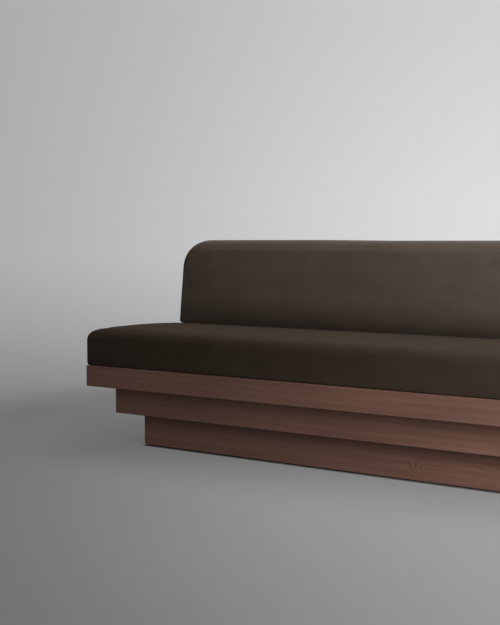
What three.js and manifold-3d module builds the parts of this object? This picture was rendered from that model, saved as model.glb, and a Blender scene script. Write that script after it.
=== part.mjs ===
// Platform sofa: a timber plinth in three steps, a full-depth upholstered seat and a bolted-on upholstered back.
// Millimetres. +Z is up, +X runs along the length and the front faces -Y. The origin is on the floor, under the middle.
import * as THREE from 'three';
import { mergeVertices } from 'three/addons/utils/BufferGeometryUtils.js';
import Module from 'manifold-3d';

// Overall size of the seat and of the tier that carries it
const sofaLength = 2400;
const sofaDepth = 780;

// Clearances
const gap = 0.3;
const overrun = 6;

// Plinth boards, the same section in every tier
const stepBack = 70;
const boardThickness = 22;
const arrisRadius = 2;
const topTierHeight = 71;
const middleTierHeight = 96;
const bottomTierHeight = 114;

// Strips that close the underside where a tier overhangs the one below
const soffitThickness = 12;

// Stepped ribs across the plinth, and the two rails let into their tops
const ribThickness = 22;
const plinthRibShares = [-0.75, -0.375, 0, 0.375, 0.75];
const railWidth = 110;
const railHeight = 35;

// Glue blocks in the corners of the bottom tier
const blockSize = 50;
const blockChamfer = 18;

// Nail-on glides under the blocks and the middle rib
const glideHeight = 4;
const glideRadius = 10;
const glideEdge = 1;
const nailRadius = 2;
const nailLength = 18;
const nailPoint = 4;

// Seat: a board, its foam and a cover
const seatHeight = 113;
const seatBoardThickness = 18;
const seatBoardMargin = 12;
const seatUnderRadius = 5;
const seatTopRadius = 32;
const seatCornerRadius = 8;
const seatBulge = 1;
const seatDrawIn = 2;
const seatCrown = 14;
const seatCrownAtEnds = 11;
const seatCrownReach = 200;
const seatCrownFall = 150;
const seatCrownMargin = 12;
const ventRadius = 20;
const ventPlace = -110;
const coverThickness = 3;
const stapleMargin = 20;

// Back: a ribbed box frame, its foam and a cover
const backHeight = 312;
const backThickness = 250;
const backEndInset = 24;
const backRearInset = 28;
const backRecline = 32;
const backCornerRadius = 106;
const backEdgeRadius = 48;
const backSideRadius = 13;
const backUnderRadius = 11;
const backCrown = 10;
const backCrownReach = 160;
const backCrownDepth = 30;
const backTuck = 10;
const backTuckShare = 0.32;
const frameEndPadding = 60;
const frameTopPadding = 52;
const frameRearPadding = 22;
const frameDepth = 140;
const frameRailThickness = 27;
const uprightThickness = 18;
const panelThickness = 6;
const uprightShares = [-0.33, 0.33];

// Through-bolts that hold the back down to the plinth
const boltShares = [-0.5625, 0.5625];
const boltSpread = 72;
const boltRadius = 5;
const boltEnd = 2;
const boltFlangeRadius = 11;
const boltFlangeThickness = 2;
const boltHeadRadius = 8.5;
const boltHeadHeight = 7;
const tubeRadius = 8;
const nutPlateWidth = 34;
const nutPlateLength = 112;
const nutPlateThickness = 5;

// Counts of steps round curves and along sides
const arrisSteps = 3;
const roundSides = 12;
const ventSides = 20;
const cornerSteps = 3;
const longSteps = 8;
const shortSteps = 4;
const seatTopSteps = 4;
const backTopSteps = 7;
const underSteps = 2;

// Colours, roughness and metalness of the finishes
const finishes = {
  stainedWood: { color: 0x6e4d3f, roughness: 0.5, metalness: 0 },
  rawTimber: { color: 0xc3a376, roughness: 0.85, metalness: 0 },
  plywood: { color: 0xb8976a, roughness: 0.8, metalness: 0 },
  cover: { color: 0x51463d, roughness: 0.85, metalness: 0 },
  foam: { color: 0xd9cfa8, roughness: 1, metalness: 0 },
  steel: { color: 0x9c9ea1, roughness: 0.35, metalness: 1 },
  glide: { color: 0x1d1c1b, roughness: 0.6, metalness: 0 },
};

// Levels and places worked out from the sizes above
const bottomTierBottom = glideHeight + gap;
const middleTierBottom = bottomTierBottom + bottomTierHeight + gap;
const topTierBottom = middleTierBottom + middleTierHeight + gap;
const seatBottom = topTierBottom + topTierHeight + gap;
const seatTop = seatBottom + seatHeight;
const seatBoardBottom = seatBottom + coverThickness + gap;
const seatFoamBottom = seatBoardBottom + seatBoardThickness + gap;
const backBottom = seatTop + gap;
const backTop = backBottom + backHeight;
const backHalf = sofaLength / 2 - backEndInset;
const backRear = sofaDepth / 2 - backRearInset;
const backFront = backRear - backThickness;
const crownRear = backFront - seatCrownMargin;
const frameHalf = backHalf - frameEndPadding;
const frameBottom = backBottom + coverThickness + gap;
const frameTop = backTop - frameTopPadding;
const frameRear = backRear - frameRearPadding;
const frameFullDepth = frameDepth + 2 * (panelThickness + gap);
const frameFront = frameRear - frameFullDepth;
const frameMiddle = frameRear - frameFullDepth / 2;
const seatOpenX = sofaLength / 2 - seatBoardMargin - stapleMargin;
const seatOpenY = sofaDepth / 2 - seatBoardMargin - stapleMargin;
const bearingTop = seatBoardBottom - gap;
const railBottom = bearingTop - railHeight;
const ribPlaces = plinthRibShares.map((share) => (share * sofaLength) / 2);
const boltPlaces = boltShares.flatMap((share) => [-1, 1].map((side) => ({
  x: (share * sofaLength) / 2,
  y: frameMiddle + (side * boltSpread) / 2,
})));

const tiers = [
  { name: 'bottom_tier', bottom: bottomTierBottom, height: bottomTierHeight, steps: 2 },
  { name: 'middle_tier', bottom: middleTierBottom, height: middleTierHeight, steps: 1 },
  { name: 'top_tier', bottom: topTierBottom, height: topTierHeight, steps: 0 },
];

const sofa = new THREE.Group();
const wasm = await Module();
wasm.setup();

// Adds a named piece with a material of its own.
function addPiece(name, geometry, finish, parent = sofa) {
  const mesh = new THREE.Mesh(geometry, new THREE.MeshStandardMaterial(finishes[finish]));
  mesh.name = name;
  parent.add(mesh);
  return mesh;
}

function toSolid(geometry) {
  const bare = geometry.clone();
  bare.deleteAttribute('normal');
  bare.deleteAttribute('uv');
  const merged = mergeVertices(bare);
  const vertProperties = Float32Array.from(merged.attributes.position.array);
  const triVerts = Uint32Array.from(merged.index.array);
  return new wasm.Manifold(new wasm.Mesh({ numProp: 3, vertProperties, triVerts }));
}

function toGeometry(solid) {
  const mesh = solid.getMesh();
  const geometry = new THREE.BufferGeometry();
  geometry.setAttribute('position', new THREE.BufferAttribute(mesh.vertProperties, mesh.numProp));
  geometry.setIndex(new THREE.BufferAttribute(mesh.triVerts, 1));
  return geometry;
}

function cut(geometry, cutters) {
  let solid = toSolid(geometry);
  cutters.forEach((cutter) => {
    solid = solid.subtract(toSolid(cutter));
  });
  return toGeometry(solid);
}

function box([x0, x1], [y0, y1], [z0, z1]) {
  const geometry = new THREE.BoxGeometry(x1 - x0, y1 - y0, z1 - z0);
  return geometry.translate((x0 + x1) / 2, (y0 + y1) / 2, (z0 + z1) / 2);
}

// A piece turned about the Z axis, from a profile of [radius, height] pairs.
function turned(profile, sides) {
  const points = profile.map(([radius, height]) => new THREE.Vector2(radius, height));
  return new THREE.LatheGeometry(points, sides).rotateX(Math.PI / 2);
}

// A round cutter or pin with its axis along Z.
function round(radius, from, to, { x, y }, sides = roundSides) {
  return turned([[0, from], [radius, from], [radius, to], [0, to]], sides).translate(x, y, 0);
}

// A section drawn in the YZ plane, run along X with its middle at the origin.
function runAlongX(section, run) {
  const options = { depth: run, bevelEnabled: false, curveSegments: arrisSteps };
  const turn = new THREE.Matrix4().makeBasis(
    new THREE.Vector3(0, 1, 0),
    new THREE.Vector3(0, 0, 1),
    new THREE.Vector3(1, 0, 0),
  );
  return new THREE.ExtrudeGeometry(section, options).applyMatrix4(turn).translate(-run / 2, 0, 0);
}

// A board whose outer long edges are eased and whose ends are mitred, outer face on y = 0, bottom on z = 0.
function mitredBoard(run, height) {
  const section = new THREE.Shape();
  section.absarc(arrisRadius, arrisRadius, arrisRadius, Math.PI, 1.5 * Math.PI);
  section.lineTo(boardThickness, 0);
  section.lineTo(boardThickness, height);
  section.lineTo(arrisRadius, height);
  section.absarc(arrisRadius, height - arrisRadius, arrisRadius, 0.5 * Math.PI, Math.PI);
  const geometry = runAlongX(section, run);
  const position = geometry.attributes.position;
  for (let index = 0; index < position.count; index += 1) {
    const mitred = run / 2 - position.getY(index) - gap / Math.SQRT2;
    position.setX(index, Math.sign(position.getX(index)) * mitred);
  }
  return geometry;
}

// The four boards of a tier.
function addTierBoards({ name, bottom, height, steps }) {
  const run = sofaLength - 2 * steps * stepBack;
  const width = sofaDepth - 2 * steps * stepBack;
  const sides = [
    { side: 'front', turns: 0, along: run, out: width / 2 },
    { side: 'right', turns: 1, along: width, out: run / 2 },
    { side: 'back', turns: 2, along: run, out: width / 2 },
    { side: 'left', turns: 3, along: width, out: run / 2 },
  ];
  sides.forEach(({ side, turns, along, out }) => {
    const turn = new THREE.Group();
    turn.rotation.z = (turns * Math.PI) / 2;
    sofa.add(turn);
    const board = addPiece(`${name}_${side}_board`, mitredBoard(along, height), 'stainedWood', turn);
    board.position.set(0, -out, bottom);
  });
}

// The strips under a tier's overhang rest on the boards below: two long ones and two short ones between them.
function addSoffits({ name, bottom, steps }) {
  const clear = stepBack * steps + boardThickness + gap;
  const width = stepBack - gap;
  const x = sofaLength / 2 - clear;
  const y = sofaDepth / 2 - clear;
  const z = [bottom, bottom + soffitThickness];
  addPiece(`${name}_front_soffit`, box([-x, x], [-y, width - y], z), 'plywood');
  addPiece(`${name}_back_soffit`, box([-x, x], [y - width, y], z), 'plywood');
  const short = y - width - gap;
  addPiece(`${name}_left_soffit`, box([-x, width - x], [-short, short], z), 'plywood');
  addPiece(`${name}_right_soffit`, box([x - width, x], [-short, short], z), 'plywood');
}

// Half the inner depth of a tier, less a clearance.
function innerDepth(steps) {
  return sofaDepth / 2 - stepBack * steps - boardThickness - gap;
}

// Glides stand under the corner blocks and under the two ends of the middle rib.
function glidePlaces() {
  const y = innerDepth(tiers[0].steps) - blockSize / 2;
  const x = y + (sofaLength - sofaDepth) / 2;
  return [-x, 0, x].flatMap((place) => [{ x: place, y: -y }, { x: place, y }]);
}

function nailHoles() {
  return glidePlaces().map((place) => round(nailRadius + gap, 0, glideHeight + nailLength + gap, place));
}

// One rib outline steps in with the tiers. Its top is notched for the rails and stands in the cover's opening.
function addPlinthRibs() {
  const corners = [
    [innerDepth(2), bottomTierBottom],
    [innerDepth(2), middleTierBottom + soffitThickness + gap],
    [innerDepth(1), middleTierBottom + soffitThickness + gap],
    [innerDepth(1), topTierBottom + soffitThickness + gap],
    [innerDepth(0), topTierBottom + soffitThickness + gap],
    [innerDepth(0), topTierBottom + topTierHeight],
    [seatOpenY - gap, topTierBottom + topTierHeight],
    [seatOpenY - gap, bearingTop],
    [frameMiddle + railWidth / 2 + gap, bearingTop],
    [frameMiddle + railWidth / 2 + gap, railBottom - gap],
    [frameMiddle - railWidth / 2 - gap, railBottom - gap],
    [frameMiddle - railWidth / 2 - gap, bearingTop],
  ];
  const mirrored = corners.map(([y, z]) => [-y, z]).reverse();
  const outline = new THREE.Shape([...corners, ...mirrored].map(([y, z]) => new THREE.Vector2(y, z)));
  ribPlaces.forEach((x, index) => {
    const rib = runAlongX(outline, ribThickness).translate(x, 0, 0);
    addPiece(`plinth_rib_${index + 1}`, cut(rib, nailHoles()), 'plywood');
  });
}

// The rails lie in the ribs' notches. The rear one is bored for the back's bolts.
function addPlinthRails() {
  const x = [gap - seatOpenX, seatOpenX - gap];
  const z = [railBottom, bearingTop];
  const boltHoles = boltPlaces.map((place) => round(boltRadius + gap, railBottom - overrun, seatTop, place));
  const near = [frameMiddle - railWidth / 2, frameMiddle + railWidth / 2];
  addPiece('plinth_rear_rail', cut(box(x, near, z), boltHoles), 'rawTimber');
  addPiece('plinth_front_rail', box(x, [-near[1], -near[0]], z), 'rawTimber');
}

// Five-sided glue blocks in the bottom tier's corners.
function addCornerBlocks() {
  const y = innerDepth(tiers[0].steps);
  const x = y + (sofaLength - sofaDepth) / 2;
  const section = new THREE.Shape();
  section.moveTo(0, 0);
  section.lineTo(blockSize, 0);
  section.lineTo(blockSize, blockSize - blockChamfer);
  section.lineTo(blockSize - blockChamfer, blockSize);
  section.lineTo(0, blockSize);
  const blocks = [
    { corner: 'front_left', turns: 0, place: [-x, -y] },
    { corner: 'front_right', turns: 1, place: [x, -y] },
    { corner: 'back_right', turns: 2, place: [x, y] },
    { corner: 'back_left', turns: 3, place: [-x, y] },
  ];
  blocks.forEach(({ corner, turns, place }) => {
    const block = new THREE.ExtrudeGeometry(section, { depth: bottomTierHeight, bevelEnabled: false });
    block.rotateZ((turns * Math.PI) / 2).translate(...place, bottomTierBottom);
    addPiece(`${corner}_corner_block`, cut(block, nailHoles()), 'rawTimber');
  });
}

// A glide is a moulded disc with its nail in one piece.
function addGlides() {
  const profile = [
    [0, 0],
    [glideRadius - glideEdge, 0],
    [glideRadius, glideEdge],
    [glideRadius, glideHeight],
    [nailRadius, glideHeight],
    [nailRadius, glideHeight + nailLength - nailPoint],
    [0, glideHeight + nailLength],
  ];
  glidePlaces().forEach(({ x, y }, index) => {
    addPiece(`glide_${index + 1}`, turned(profile, roundSides).translate(x, y, 0), 'glide');
  });
}

// One level of a padded form: a rectangle with round corners, counter-clockwise seen from above.
// Its short sides have their middle point at waist, or halfway.
function levelRing({ half, front, rear, radius, z, waist = (front + rear) / 2 }) {
  const limit = Math.min(radius, (rear - front) / 2 - gap, half - gap);
  const corners = [
    { x: half - limit, y: rear - limit },
    { x: limit - half, y: rear - limit },
    { x: limit - half, y: front + limit },
    { x: half - limit, y: front + limit },
  ];
  const arcs = corners.map(({ x, y }, quarter) => {
    const arc = [];
    for (let step = 0; step <= cornerSteps; step += 1) {
      const angle = ((quarter + step / cornerSteps) * Math.PI) / 2;
      arc.push(new THREE.Vector3(x + limit * Math.cos(angle), y + limit * Math.sin(angle), z));
    }
    return arc;
  });
  const middle = Math.max(front + limit, Math.min(rear - limit, waist));
  return arcs.flatMap((arc, quarter) => {
    const start = arc.at(-1);
    const end = arcs[(quarter + 1) % arcs.length][0];
    const long = quarter % 2 === 0;
    const steps = (long ? longSteps : shortSteps) / 2;
    const between = new THREE.Vector3((start.x + end.x) / 2, long ? start.y : middle, z);
    const side = [];
    for (let step = 1; step <= steps; step += 1) {
      side.push(start.clone().lerp(between, step / steps));
    }
    for (let step = 1; step < steps; step += 1) {
      side.push(between.clone().lerp(end, step / steps));
    }
    return [...arc, ...side];
  });
}

// Joins level rings of one point count, and closes them with a lid below and above.
function loft(rings) {
  const count = rings[0].length;
  const positions = rings.flatMap((ring) => ring.flatMap((point) => [point.x, point.y, point.z]));
  const indices = [];
  for (let level = 0; level < rings.length - 1; level += 1) {
    for (let step = 0; step < count; step += 1) {
      const a = level * count + step;
      const b = level * count + ((step + 1) % count);
      indices.push(a, b, b + count, a, b + count, a + count);
    }
  }
  const lid = (ring) => THREE.ShapeUtils.triangulateShape(ring.map(({ x, y }) => new THREE.Vector2(x, y)), []);
  lid(rings[0]).forEach(([a, b, c]) => indices.push(a, c, b));
  const last = (rings.length - 1) * count;
  lid(rings.at(-1)).forEach(([a, b, c]) => indices.push(last + a, last + b, last + c));
  const geometry = new THREE.BufferGeometry();
  geometry.setAttribute('position', new THREE.Float32BufferAttribute(positions, 3));
  geometry.setIndex(indices);
  return geometry;
}

// How much thicker than its rear part the seat is at a place: most in front, falling to nothing by the back.
function seatCrownAt(x, y) {
  const start = seatCrownFall - sofaDepth / 2;
  const fallen = Math.max(0, Math.min(1, (y - start) / (crownRear - start)));
  const along = Math.max(0, Math.min(1, (sofaLength / 2 - Math.abs(x)) / seatCrownReach));
  const most = seatCrownAtEnds + (seatCrown - seatCrownAtEnds) * Math.sin((Math.PI / 2) * along);
  return most * Math.cos((Math.PI / 2) * fallen);
}

// The seat's outer form, or the same form a skin's thickness further in.
function seatForm(skin) {
  const bulgeShares = [0, 1, 0.85, 0.3];
  const flatShares = [0.25, 0.5, 0.75, 1];
  const under = seatUnderRadius - skin;
  const top = seatTopRadius - skin;
  const low = seatBottom + seatUnderRadius;
  const high = seatTop - seatTopRadius;
  const levels = [];
  const addLevel = (inset, z, lift) => {
    const radius = seatCornerRadius + Math.max(0, inset) / 2;
    const half = sofaLength / 2 - skin - inset;
    const rear = sofaDepth / 2 - skin - inset;
    levels.push({ half, front: -rear, rear, radius, z, lift });
  };
  for (let step = 0; step < underSteps; step += 1) {
    const angle = ((step / underSteps) * Math.PI) / 2;
    addLevel(under * (1 - Math.sin(angle)), low - under * Math.cos(angle), 0);
  }
  bulgeShares.forEach((share, index) => {
    addLevel(-seatBulge * share, low + ((high - low) * index) / bulgeShares.length, 0);
  });
  for (let step = 0; step <= seatTopSteps; step += 1) {
    const angle = ((step / seatTopSteps) * Math.PI) / 2;
    addLevel(top * (1 - Math.cos(angle)), high + top * Math.sin(angle), Math.sin(angle));
  }
  const flat = levels.at(-1);
  flatShares.forEach((share) => {
    const half = flat.half + ((sofaLength - sofaDepth) / 2 - flat.half) * share;
    const front = flat.front + (crownRear - seatCrownMargin - flat.front) * share;
    const rear = flat.rear + (crownRear - flat.rear) * share;
    levels.push({ ...flat, half, front, rear });
  });
  const rings = levels.map((level) => {
    const ring = levelRing({ ...level, waist: crownRear });
    ring.forEach((point) => {
      const drawn = seatDrawIn * (1 - (point.x / level.half) ** 2) * (1 - level.lift);
      point.y -= (drawn * point.y) / level.rear;
      const padded = Math.max(0, (point.z - seatFoamBottom) / (seatTop - seatFoamBottom));
      point.z += seatCrownAt(point.x, point.y) * padded;
    });
    return ring;
  });
  return loft(rings);
}

function addSeat() {
  const boardX = sofaLength / 2 - seatBoardMargin;
  const boardY = sofaDepth / 2 - seatBoardMargin;
  const boardZ = [seatBoardBottom, seatBoardBottom + seatBoardThickness];
  const boltHoles = boltPlaces.map((place) => round(boltRadius + gap, seatBottom, seatTop, place));
  const ventXs = ribPlaces.slice(1).map((x, index) => (x + ribPlaces[index]) / 2);
  const vents = ventXs.map((x) => round(ventRadius, seatBottom, seatTop, { x, y: ventPlace }, ventSides));
  const board = cut(box([-boardX, boardX], [-boardY, boardY], boardZ), [...boltHoles, ...vents]);
  addPiece('seat_board', board, 'plywood');

  const tubeHoles = boltPlaces.map((place) => round(tubeRadius + gap, seatBottom, seatTop + overrun, place));
  const belowFoam = box([-sofaLength, sofaLength], [-sofaDepth, sofaDepth], [seatBottom - overrun, seatFoamBottom]);
  addPiece('seat_foam', cut(seatForm(coverThickness + gap), [belowFoam, ...tubeHoles]), 'foam');

  const opening = box([-seatOpenX, seatOpenX], [-seatOpenY, seatOpenY], [seatBottom - overrun, seatFoamBottom]);
  addPiece('seat_cover', cut(seatForm(0), [seatForm(coverThickness), opening, ...tubeHoles]), 'cover');
}

// The back's outer form, or the same form a skin's thickness further in.
function backForm(skin) {
  const sideShares = [0, 0.2, 0.4, 0.65, 0.85];
  const under = backUnderRadius - skin;
  const corner = backCornerRadius - skin;
  const edge = backEdgeRadius - skin;
  const low = backBottom + backUnderRadius;
  const high = backTop - backCornerRadius;
  const top = backTop - skin;
  const levels = [];
  for (let step = 0; step < underSteps; step += 1) {
    const angle = ((step / underSteps) * Math.PI) / 2;
    levels.push({ z: low - under * Math.cos(angle), end: under * (1 - Math.sin(angle)) });
  }
  sideShares.forEach((share) => {
    levels.push({ z: low + (high - low) * share, end: 0 });
  });
  for (let step = 0; step <= backTopSteps; step += 1) {
    const angle = ((step / backTopSteps) * Math.PI) / 2;
    levels.push({ z: high + corner * Math.sin(angle), end: corner * (1 - Math.cos(angle)) });
  }
  const rings = levels.map(({ z, end }) => {
    const risen = (z - backBottom) / backHeight;
    const over = Math.max(0, z - (top - edge));
    const rounded = z < low ? end : edge - Math.sqrt(Math.max(0, edge ** 2 - over ** 2));
    const front = backFront + skin + backRecline * risen + rounded;
    const rear = backRear - skin - rounded;
    const half = backHalf - skin - end;
    const radius = backSideRadius - skin + rounded / 2;
    const ring = levelRing({ half, front, rear, radius, z });
    ring.forEach((point) => {
      const facing = Math.max(0, 1 - (point.y - front) / backCrownDepth);
      const along = Math.max(0, Math.min(1, (half - Math.abs(point.x)) / backCrownReach));
      const tucked = backTuck * Math.max(0, 1 - risen / backTuckShare) ** 2;
      const crowned = backCrown * Math.sin(Math.PI * Math.min(1, risen));
      point.y += (tucked - crowned) * facing * Math.sin((Math.PI / 2) * along);
    });
    return ring;
  });
  return loft(rings);
}

// The box frame inside the back: two rails, four uprights between them, and a thin panel on each face.
function addBackFrame() {
  const y = [frameFront + panelThickness + gap, frameRear - panelThickness - gap];
  const lower = [frameBottom, frameBottom + frameRailThickness];
  const upper = [frameTop - frameRailThickness, frameTop];
  const holes = boltPlaces.map((place) => round(boltRadius + gap, lower[0] - overrun, lower[1] + overrun, place));
  addPiece('back_bottom_rail', cut(box([-frameHalf, frameHalf], y, lower), holes), 'rawTimber');
  addPiece('back_top_rail', box([-frameHalf, frameHalf], y, upper), 'rawTimber');

  const end = frameHalf - uprightThickness / 2;
  const places = [-end, ...uprightShares.map((share) => share * frameHalf), end];
  places.forEach((x, index) => {
    const upright = box([x - uprightThickness / 2, x + uprightThickness / 2], y, [lower[1] + gap, upper[0] - gap]);
    addPiece(`back_upright_${index + 1}`, upright, 'plywood');
  });

  const z = [frameBottom, frameTop];
  const x = [-frameHalf, frameHalf];
  addPiece('back_front_panel', box(x, [frameFront, frameFront + panelThickness], z), 'plywood');
  addPiece('back_rear_panel', box(x, [frameRear - panelThickness, frameRear], z), 'plywood');
}

function addBackPadding() {
  const clear = frameHalf + gap;
  const deep = [frameFront - gap, frameRear + gap];
  const hollow = box([-clear, clear], deep, [backBottom - overrun, frameTop + gap]);
  const level = box([-backHalf, backHalf], [backFront - backThickness, backRear], [backBottom - overrun, frameBottom]);
  addPiece('back_foam', cut(backForm(coverThickness + gap), [hollow, level]), 'foam');

  const openX = frameHalf - stapleMargin;
  const openY = [frameFront + stapleMargin, frameRear - stapleMargin];
  const opening = box([-openX, openX], openY, [backBottom - overrun, frameBottom + overrun]);
  addPiece('back_cover', cut(backForm(0), [backForm(coverThickness), opening]), 'cover');
}

// Flanged bolts from under the rear rail, through spacer tubes in the foam, into plates inside the back.
function addBackFixings() {
  const flangeTop = railBottom - gap;
  const flangeBottom = flangeTop - boltFlangeThickness;
  const plateBottom = frameBottom + frameRailThickness + gap;
  const tip = plateBottom + nutPlateThickness + boltEnd;
  const boltProfile = [
    [0, flangeBottom - boltHeadHeight],
    [boltHeadRadius, flangeBottom - boltHeadHeight],
    [boltHeadRadius, flangeBottom],
    [boltFlangeRadius, flangeBottom],
    [boltFlangeRadius, flangeTop],
    [boltRadius, flangeTop],
    [boltRadius, tip],
    [0, tip],
  ];
  const bore = boltRadius + gap;
  const tubeBottom = seatFoamBottom;
  const tubeTop = frameBottom - gap;
  const tubeProfile = [
    [bore, tubeBottom],
    [tubeRadius, tubeBottom],
    [tubeRadius, tubeTop],
    [bore, tubeTop],
    [bore, tubeBottom],
  ];
  boltPlaces.forEach(({ x, y }, index) => {
    addPiece(`back_bolt_${index + 1}`, turned(boltProfile, roundSides).translate(x, y, 0), 'steel');
    addPiece(`spacer_tube_${index + 1}`, turned(tubeProfile, roundSides).translate(x, y, 0), 'steel');
  });
  boltShares.forEach((share, index) => {
    const x = (share * sofaLength) / 2;
    const plate = box(
      [x - nutPlateWidth / 2, x + nutPlateWidth / 2],
      [frameMiddle - nutPlateLength / 2, frameMiddle + nutPlateLength / 2],
      [plateBottom, plateBottom + nutPlateThickness],
    );
    const holes = boltPlaces.map((place) => round(bore, frameBottom, frameTop, place));
    addPiece(`nut_plate_${index + 1}`, cut(plate, holes), 'steel');
  });
}

tiers.forEach((tier) => {
  addTierBoards(tier);
  if (tier.steps < tiers[0].steps) {
    addSoffits(tier);
  }
});
addPlinthRibs();
addPlinthRails();
addCornerBlocks();
addGlides();
addSeat();
addBackFrame();
addBackPadding();
addBackFixings();

export default sofa;
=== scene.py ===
# %% [markdown]
# # A platform sofa: stepped timber plinth, one long seat, one long back
#
# The real object has three kinds of surface. The plinth is three tiers of stained boards, mitred at
# the corners. The seat and the back are two long padded pieces under one dark brushed cloth. Inside
# and underneath are plywood ribs, softwood rails, bolts and glides, which only show when the sofa
# is seen from below.
#
# The measured frame is loaded first, and it stays as it is. Rigid pieces keep their own solids and
# get finishes. The two padded pieces are modelled again here, because padding needs a swollen,
# crowned form.

import math

import bmesh
import bpy
import numpy as np
from mathutils import Matrix, Vector


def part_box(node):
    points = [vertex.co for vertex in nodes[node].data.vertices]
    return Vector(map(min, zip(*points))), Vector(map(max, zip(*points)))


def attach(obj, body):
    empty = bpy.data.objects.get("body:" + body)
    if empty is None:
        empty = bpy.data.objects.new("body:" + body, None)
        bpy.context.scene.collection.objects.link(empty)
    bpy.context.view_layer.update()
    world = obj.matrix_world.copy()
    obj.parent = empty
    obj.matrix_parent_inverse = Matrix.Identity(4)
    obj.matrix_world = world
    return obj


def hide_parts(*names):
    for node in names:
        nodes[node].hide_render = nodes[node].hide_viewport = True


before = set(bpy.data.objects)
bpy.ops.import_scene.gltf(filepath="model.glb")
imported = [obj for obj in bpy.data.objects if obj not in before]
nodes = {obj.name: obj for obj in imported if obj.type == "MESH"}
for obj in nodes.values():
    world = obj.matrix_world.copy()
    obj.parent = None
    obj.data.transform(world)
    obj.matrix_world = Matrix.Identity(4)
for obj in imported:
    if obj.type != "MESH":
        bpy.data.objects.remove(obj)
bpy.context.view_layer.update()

MM = 0.001


# %% [markdown]
# ## The camera
#
# The photograph looks along the sofa from its right half, a little above the back. Its place and
# turn were worked out from the straight edges of the tiers. A camera can be aimed with a
# constraint, but a fixed turn is simpler to read and never shifts when another object moves.

# %% Place the camera
CAMERA_PLACE = Vector((1.0795, -2.9666, 0.7008))
CAMERA_YAW = math.radians(32.15)
CAMERA_PITCH = math.radians(-3.953)
CAMERA_LENS = 57.6

camera_data = bpy.data.cameras.new("camera")
camera_data.lens = CAMERA_LENS
camera_data.sensor_width = 36
camera = bpy.data.objects.new("camera", camera_data)
camera.location = CAMERA_PLACE
camera.rotation_euler = (math.pi / 2 + CAMERA_PITCH, 0, CAMERA_YAW)
bpy.context.scene.collection.objects.link(camera)
bpy.context.scene.camera = camera
print("camera at", [round(number, 3) for number in camera.location])


# %% [markdown]
# ## Helpers for nodes
#
# Each finish is a tree of small nodes. Clicking them together is easy in the editor and long in a
# script, so a few short helpers add a node, a sum, a noise, a range and a mix. They only save
# typing: every node is still there to be opened and changed.

# %% Define the node helpers
def put(tree, kind, inputs=None, **settings):
    """Adds a node; inputs is socket name or number -> value, or the socket to join it to."""
    made = tree.nodes.new(kind)
    for key, value in settings.items():
        setattr(made, key, value)
    for socket, value in (inputs or {}).items():
        if isinstance(value, bpy.types.NodeSocket):
            tree.links.new(value, made.inputs[socket])
        else:
            made.inputs[socket].default_value = value
    return made


def calc(tree, operation, *values):
    return put(tree, "ShaderNodeMath", dict(enumerate(values)), operation=operation).outputs[0]


def vector_calc(tree, operation, *values):
    made = put(tree, "ShaderNodeVectorMath", dict(enumerate(values)), operation=operation)
    return made.outputs["Value" if operation in ("LENGTH", "DOT_PRODUCT") else "Vector"]


def scaled(tree, vector, amount):
    made = put(tree, "ShaderNodeVectorMath", {0: vector, "Scale": amount}, operation="SCALE")
    return made.outputs[0]


def noise(tree, vector, scale, detail=2.0, roughness=0.5):
    inputs = {"Vector": vector, "Scale": scale, "Detail": detail, "Roughness": roughness}
    return put(tree, "ShaderNodeTexNoise", inputs)


def remap(tree, value, low, high, new_low=0.0, new_high=1.0, smooth=False):
    inputs = {"Value": value, "From Min": low, "From Max": high}
    inputs |= {"To Min": new_low, "To Max": new_high}
    kind = "SMOOTHSTEP" if smooth else "LINEAR"
    return put(tree, "ShaderNodeMapRange", inputs, interpolation_type=kind).outputs[0]


def mix(tree, share, first, second, blend="MIX"):
    inputs = {0: share, 6: first, 7: second}
    return put(tree, "ShaderNodeMix", inputs, data_type="RGBA", blend_type=blend).outputs[2]


def tone(*screen):
    """A colour written as on a screen, 0 to 255, in the linear values that nodes use."""
    parts = [part / 255 for part in screen]
    linear = [((part + 0.055) / 1.055) ** 2.4 if part > 0.04 else part / 12.92 for part in parts]
    return (*linear, 1)


# %% Define the material and group helpers
def new_material(name):
    material = bpy.data.materials.new(name)
    material.use_nodes = True
    tree = material.node_tree
    tree.nodes.clear()
    shader = put(tree, "ShaderNodeBsdfPrincipled")
    put(tree, "ShaderNodeOutputMaterial", {"Surface": shader.outputs[0]})
    return material, tree, shader


def new_group(name, inputs, outputs):
    """A node group from lists of (socket name, socket kind, default)."""
    tree = bpy.data.node_groups.new(name, "ShaderNodeTree")
    for socket_name, kind, default in inputs:
        socket = tree.interface.new_socket(socket_name, in_out="INPUT", socket_type=kind)
        if default is not None:
            socket.default_value = default
    for socket_name, kind in outputs:
        tree.interface.new_socket(socket_name, in_out="OUTPUT", socket_type=kind)
    entry = tree.nodes.new("NodeGroupInput")
    leave = tree.nodes.new("NodeGroupOutput")
    return tree, entry.outputs, leave.inputs


def use_group(tree, group, inputs):
    return put(tree, "ShaderNodeGroup", inputs, node_tree=group).outputs


def join(tree, source, target):
    tree.links.new(source, target)


def object_place(tree):
    return put(tree, "ShaderNodeTexCoord").outputs["Object"]


def add_bump(tree, shader, height, strength, depth):
    bump = put(tree, "ShaderNodeBump", {"Strength": strength, "Distance": depth, "Height": height})
    join(tree, bump.outputs[0], shader.inputs["Normal"])


def dress(material, slot, *names):
    """Gives CAD nodes a finish; the record's slot that it stands for is not used."""
    for name in names:
        piece = nodes[name]
        piece.data.materials.clear()
        piece.data.materials.append(material)


# %% [markdown]
# ## Grain that runs through the whole board
#
# Timber figure comes from growth rings, which are long cylinders round the pith of the trunk. A
# board is a slice through them, so lines run along it, widen where the slice is nearly tangent, and
# form arches. A picture of wood would stop at the edges. A solid pattern runs on over every edge,
# as the real one does, so the group measures the distance to a pith line, bends it with noise, and
# cuts it into rings. Its input has the grain along X. It puts out the rings, the finer streaks, the
# pores, and a height for the bump.

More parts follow.
